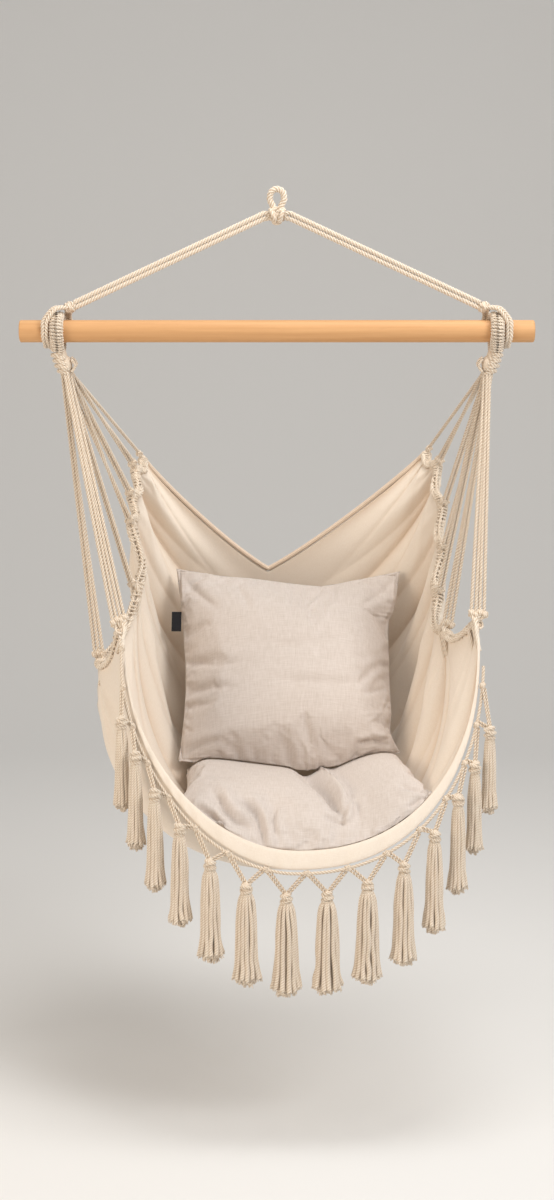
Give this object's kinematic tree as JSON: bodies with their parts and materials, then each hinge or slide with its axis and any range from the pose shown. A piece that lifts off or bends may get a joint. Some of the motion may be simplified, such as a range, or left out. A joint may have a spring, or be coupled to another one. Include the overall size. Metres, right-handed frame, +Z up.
{
  "type": "hammock chair",
  "caption": "Hanging hammock chair: canvas sling on knotted cords under a wooden spreader bar, with tassel fringe and two cushions.",
  "frame": {"origin": "inner top of the hanging eye's hole, where the chair hangs", "axes": "+X to the viewer's right along the spreader bar, +Y to the back of the seat, +Z up"},
  "size_m": [1, 0.6762, 1.4965],
  "materials": {
    "cotton_cord": "matte twisted cotton",
    "canvas": "matte woven canvas",
    "cushion_linen": "matte linen weave",
    "bar_wood": "satin sanded",
    "tab_black": "matte ribbon"
  },
  "bodies": {
    "hanging_eye": {"hanging_eye": "cotton_cord"},
    "apex": {"apex_knot": "cotton_cord"},
    "suspension": {"suspension_cord_left_upper": "cotton_cord", "suspension_cord_left_lower": "cotton_cord", "bar_ring_left": "cotton_cord", "suspension_cord_right_upper": "cotton_cord", "suspension_cord_right_lower": "cotton_cord", "bar_ring_right": "cotton_cord", "spreader_bar": "bar_wood"},
    "seat": {"sling_eye_left": "cotton_cord", "eye_whipping_left": "cotton_cord", "neck_knot_left": "cotton_cord", "harness_left_1": "cotton_cord", "harness_left_2": "cotton_cord", "harness_left_3": "cotton_cord", "harness_left_4": "cotton_cord", "harness_left_5": "cotton_cord", "harness_left_6": "cotton_cord", "harness_left_7": "cotton_cord", "side_rope_left": "cotton_cord", "sling_eye_right": "cotton_cord", "eye_whipping_right": "cotton_cord", "neck_knot_right": "cotton_cord", "harness_right_1": "cotton_cord", "harness_right_2": "cotton_cord", "harness_right_3": "cotton_cord", "harness_right_4": "cotton_cord", "harness_right_5": "cotton_cord", "harness_right_6": "cotton_cord", "harness_right_7": "cotton_cord", "side_rope_right": "cotton_cord", "sling_canvas": "canvas", "back_hem": "canvas", "front_hem_band": "canvas", "fringe_cord": "cotton_cord"},
    "seat_cushion": {"seat_cushion": "cushion_linen"},
    "back_cushion": {"back_cushion": "cushion_linen", "cushion_tab": "tab_black"},
    "tassel_01": {"tassel_01": "cotton_cord"},
    "tassel_02": {"tassel_02": "cotton_cord"},
    "tassel_03": {"tassel_03": "cotton_cord"},
    "tassel_04": {"tassel_04": "cotton_cord"},
    "tassel_05": {"tassel_05": "cotton_cord"},
    "tassel_06": {"tassel_06": "cotton_cord"},
    "tassel_07": {"tassel_07": "cotton_cord"},
    "tassel_08": {"tassel_08": "cotton_cord"},
    "tassel_09": {"tassel_09": "cotton_cord"},
    "tassel_10": {"tassel_10": "cotton_cord"},
    "tassel_11": {"tassel_11": "cotton_cord"},
    "tassel_12": {"tassel_12": "cotton_cord"},
    "tassel_13": {"tassel_13": "cotton_cord"},
    "tassel_14": {"tassel_14": "cotton_cord"}
  },
  "joints": [
    {"name": "side_sway", "type": "hinge", "parent": "hanging_eye", "child": "apex", "pos_m": [0, 0, -0.044], "axis": [0, 1, 0], "range_deg": [-12, 12]},
    {"name": "fore_aft_swing", "type": "hinge", "parent": "apex", "child": "suspension", "pos_m": [0, 0, -0.044], "axis": [1, 0, 0], "range_deg": [-20, 20]},
    {"name": "seat_rock", "type": "hinge", "parent": "suspension", "child": "seat", "pos_m": [0, 0, -0.264], "axis": [1, 0, 0], "range_deg": [-12, 12]},
    {"name": "seat_cushion_lift", "type": "slide", "parent": "seat", "child": "seat_cushion", "axis": [0, -0.5, 0.866], "range_m": [0, 0.28]},
    {"name": "back_cushion_lift", "type": "slide", "parent": "seat_cushion", "child": "back_cushion", "axis": [0, -0.5, 0.866], "range_m": [0, 0.3]},
    {"name": "tassel_01_swing", "type": "hinge", "parent": "seat", "child": "tassel_01", "pos_m": [-0.28153, -0.20958, -0.96608], "axis": [-0.2496, 0.3493, 0.9031], "range_deg": [-10, 10]},
    {"name": "tassel_02_swing", "type": "hinge", "parent": "seat", "child": "tassel_02", "pos_m": [-0.25692, -0.23621, -1.03294], "axis": [-0.3956, 0.3486, 0.8497], "range_deg": [-10, 10]},
    {"name": "tassel_03_swing", "type": "hinge", "parent": "seat", "child": "tassel_03", "pos_m": [-0.22167, -0.26205, -1.09523], "axis": [-0.5283, 0.3286, 0.7829], "range_deg": [-15, 15]},
    {"name": "tassel_04_swing", "type": "hinge", "parent": "seat", "child": "tassel_04", "pos_m": [-0.17627, -0.28575, -1.15143], "axis": [-0.6618, 0.2926, 0.6903], "range_deg": [-15, 15]},
    {"name": "tassel_05_swing", "type": "hinge", "parent": "seat", "child": "tassel_05", "pos_m": [-0.1207, -0.30595, -1.19898], "axis": [-0.7959, 0.2372, 0.557], "range_deg": [-15, 15]},
    {"name": "tassel_06_swing", "type": "hinge", "parent": "seat", "child": "tassel_06", "pos_m": [-0.05538, -0.32088, -1.23401], "axis": [-0.919, 0.1548, 0.3625], "range_deg": [-15, 15]},
    {"name": "tassel_07_swing", "type": "hinge", "parent": "seat", "child": "tassel_07", "pos_m": [0.01747, -0.3282, -1.25114], "axis": [-0.9955, 0.0374, 0.0874], "range_deg": [-15, 15]},
    {"name": "tassel_08_swing", "type": "hinge", "parent": "seat", "child": "tassel_08", "pos_m": [0.09313, -0.32773, -1.24994], "axis": [-0.9917, -0.0495, -0.1187], "range_deg": [-15, 15]},
    {"name": "tassel_09_swing", "type": "hinge", "parent": "seat", "child": "tassel_09", "pos_m": [0.16656, -0.32068, -1.23301], "axis": [-0.9357, -0.1357, -0.3256], "range_deg": [-15, 15]},
    {"name": "tassel_10_swing", "type": "hinge", "parent": "seat", "child": "tassel_10", "pos_m": [0.23329, -0.30705, -1.2003], "axis": [-0.8162, -0.222, -0.5334], "range_deg": [-15, 15]},
    {"name": "tassel_11_swing", "type": "hinge", "parent": "seat", "child": "tassel_11", "pos_m": [0.28927, -0.28754, -1.15333], "axis": [-0.6533, -0.2901, -0.6993], "range_deg": [-15, 15]},
    {"name": "tassel_12_swing", "type": "hinge", "parent": "seat", "child": "tassel_12", "pos_m": [0.33248, -0.26375, -1.09577], "axis": [-0.4803, -0.3341, -0.811], "range_deg": [-15, 15]},
    {"name": "tassel_13_swing", "type": "hinge", "parent": "seat", "child": "tassel_13", "pos_m": [0.36295, -0.23742, -1.03134], "axis": [-0.3186, -0.3564, -0.8783], "range_deg": [-12, 12]},
    {"name": "tassel_14_swing", "type": "hinge", "parent": "seat", "child": "tassel_14", "pos_m": [0.38173, -0.21005, -0.96287], "axis": [-0.1737, -0.3609, -0.9163], "range_deg": [-12, 12]}
  ]
}
